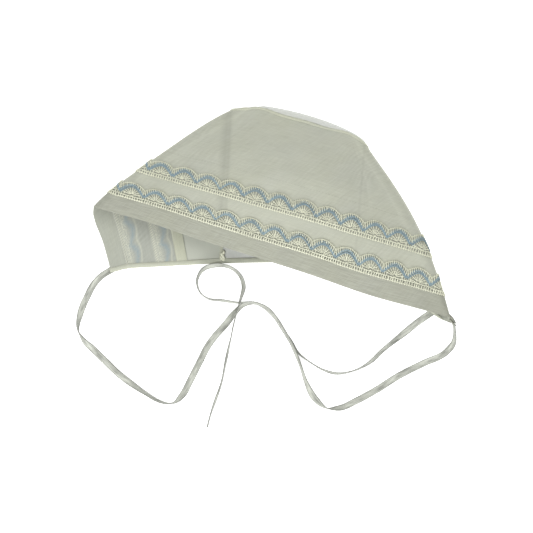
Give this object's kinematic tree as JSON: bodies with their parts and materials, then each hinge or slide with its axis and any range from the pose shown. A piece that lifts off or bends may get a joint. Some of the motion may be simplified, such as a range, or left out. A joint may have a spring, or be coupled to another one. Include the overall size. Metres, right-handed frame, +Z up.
{
  "type": "baby bonnet",
  "caption": "Sheer cotton baby bonnet lying on its side: a strip over the head, rows of scalloped lace along the front, a back panel and ribbon ties.",
  "frame": {"origin": "on the table under the middle of the lying bonnet, ties left out", "axes": "+Z up from the table, +X towards the near tie corner, +Y towards the back seam"},
  "size_m": [0.2926, 0.2429, 0.0366],
  "materials": {
    "sheer_cotton": "stiff sheer plain weave, matte",
    "doubled_cotton": "the same sheer cotton, two or more thicknesses, matte",
    "cotton_lace": "cream thread lace with a pale blue gimp",
    "satin_ribbon": "narrow ivory satin, soft gloss"
  },
  "bodies": {
    "root": {"crown_strip": "sheer_cotton", "front_band": "doubled_cotton", "back_seam": "doubled_cotton", "tuck_band": "doubled_cotton", "back_panel": "sheer_cotton", "neck_binding": "doubled_cotton", "lace_front": "cotton_lace", "lace_back": "cotton_lace", "tie_left": "satin_ribbon", "tie_right": "satin_ribbon"}
  },
  "joints": []
}
